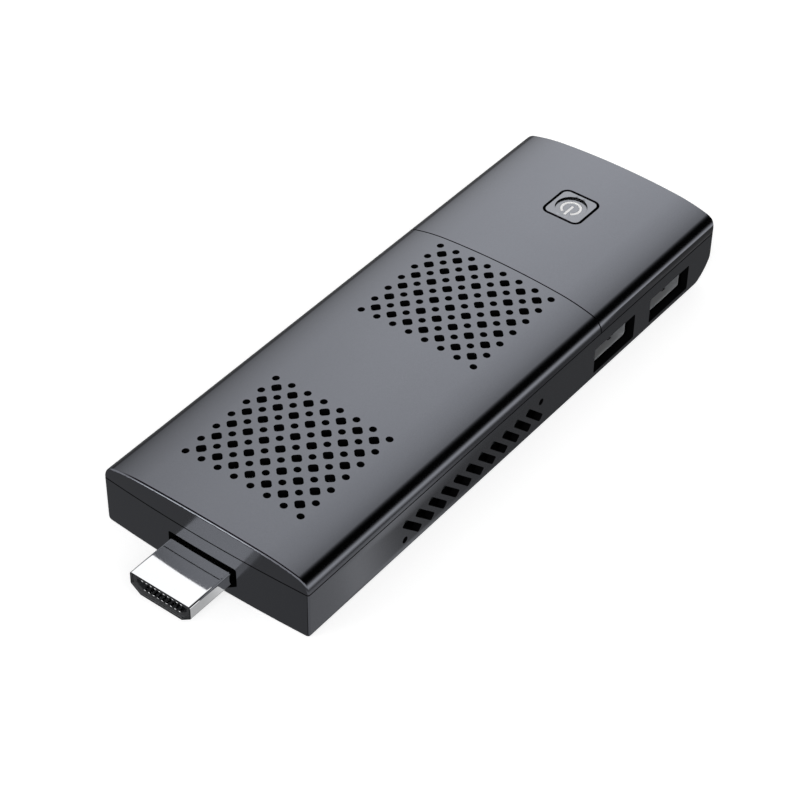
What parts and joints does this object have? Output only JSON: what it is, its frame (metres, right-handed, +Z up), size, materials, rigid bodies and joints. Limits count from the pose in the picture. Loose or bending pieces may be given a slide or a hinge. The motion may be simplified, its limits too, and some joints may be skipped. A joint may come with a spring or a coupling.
{
  "type": "hdmi stick computer",
  "caption": "Stick computer: a vented plastic case with a video plug at one end, USB sockets in one long side, a power button, and a cooled board inside.",
  "frame": {"origin": "on the surface it lies on, under the middle of its whole length and width", "axes": "+X from the video plug towards the rear end, +Z up, the USB-A sockets on the -Y side"},
  "size_m": [0.1392, 0.0468, 0.0156],
  "materials": {
    "case_plastic": "dark grey metallic lacquer over moulded plastic",
    "button_plastic": "dark grey metallic lacquer over moulded plastic",
    "white_mark": "white inlaid plastic",
    "plug_chrome": "bright nickel plate",
    "socket_steel": "nickel-plated sheet",
    "black_insulator": "moulded black nylon",
    "gold_contacts": "gold-plated spring bronze",
    "dark_screws": "black zinc plate",
    "bright_screws": "plain zinc plate",
    "board_black": "black solder resist over glass fibre",
    "board_green": "green solder resist over glass fibre",
    "tinned_copper": "tinned",
    "bare_aluminium": "bare extruded and sawn",
    "brass_posts": "turned",
    "thermal_rubber": "soft filled silicone",
    "chip_black": "moulded epoxy",
    "ferrite_grey": "pressed ferrite",
    "ceramic_tan": "ceramic with tinned ends",
    "lamp_glass": "clear moulded lens",
    "cell_steel": "bright steel",
    "fan_plastic": "moulded black plastic",
    "copper_wire": "enamelled copper wire",
    "lead_insulation": "soft wire insulation",
    "white_nylon": "natural nylon",
    "coax_grey": "fine coaxial lead jacket",
    "aerial_film": "copper pattern under amber film"
  },
  "bodies": {
    "root": {"aerial_leads": "coax_grey", "aerial_plugs": "gold_contacts", "aerials": "aerial_film", "board_screws": "bright_screws", "bottom_shell": "case_plastic", "capacitors": "ceramic_tan", "card_socket_base": "black_insulator", "card_socket_cover": "socket_steel", "case_screws": "dark_screws", "coin_cell": "cell_steel", "coin_cell_holder": "black_insulator", "crystals": "socket_steel", "fan_bearing": "brass_posts", "fan_coils": "copper_wire", "fan_frame": "fan_plastic", "fan_lead_plug": "white_nylon", "fan_lead_socket": "white_nylon", "fan_leads": "lead_insulation", "fan_lid": "cell_steel", "fan_posts": "brass_posts", "fan_screws": "bright_screws", "fan_stator": "socket_steel", "front_cover": "case_plastic", "heat_sink": "bare_aluminium", "heat_sink_posts": "brass_posts", "heat_sink_screws": "bright_screws", "inductors": "ferrite_grey", "main_board": "board_black", "memory_chips": "chip_black", "power_chips": "chip_black", "power_inlet_contacts": "gold_contacts", "power_inlet_shell": "socket_steel", "power_inlet_tongue": "black_insulator", "processor_die": "chip_black", "processor_package": "board_green", "rear_cover": "case_plastic", "status_light": "lamp_glass", "storage_chip": "chip_black", "switch_base": "black_insulator", "switch_cover_plate": "socket_steel", "switch_dome": "socket_steel", "switch_terminals": "tinned_copper", "thermal_pad": "thermal_rubber", "usb_socket_contacts_front": "gold_contacts", "usb_socket_contacts_rear": "gold_contacts", "usb_socket_shell_front": "socket_steel", "usb_socket_shell_rear": "socket_steel", "usb_socket_tongue_front": "black_insulator", "usb_socket_tongue_rear": "black_insulator", "video_plug_contacts": "gold_contacts", "video_plug_insulator": "black_insulator", "video_plug_shell": "plug_chrome", "wireless_board": "board_green", "wireless_can": "socket_steel"},
    "button": {"power_button": "button_plastic", "power_symbol": "white_mark", "switch_plunger": "black_insulator"},
    "fan_wheel": {"fan_impeller": "fan_plastic", "fan_magnet": "ferrite_grey", "fan_shaft": "cell_steel"}
  },
  "joints": [
    {"name": "power_press", "type": "slide", "parent": "root", "child": "button", "axis": [0, 0, -1], "range_m": [0, 0.00035], "stiffness_N_per_m": 1500, "deforming": ["switch_dome"]},
    {"name": "fan_spin", "type": "hinge", "parent": "root", "child": "fan_wheel", "pos_m": [0.01247, 0, 0.009], "axis": [0, 0, 1], "continuous": true}
  ]
}
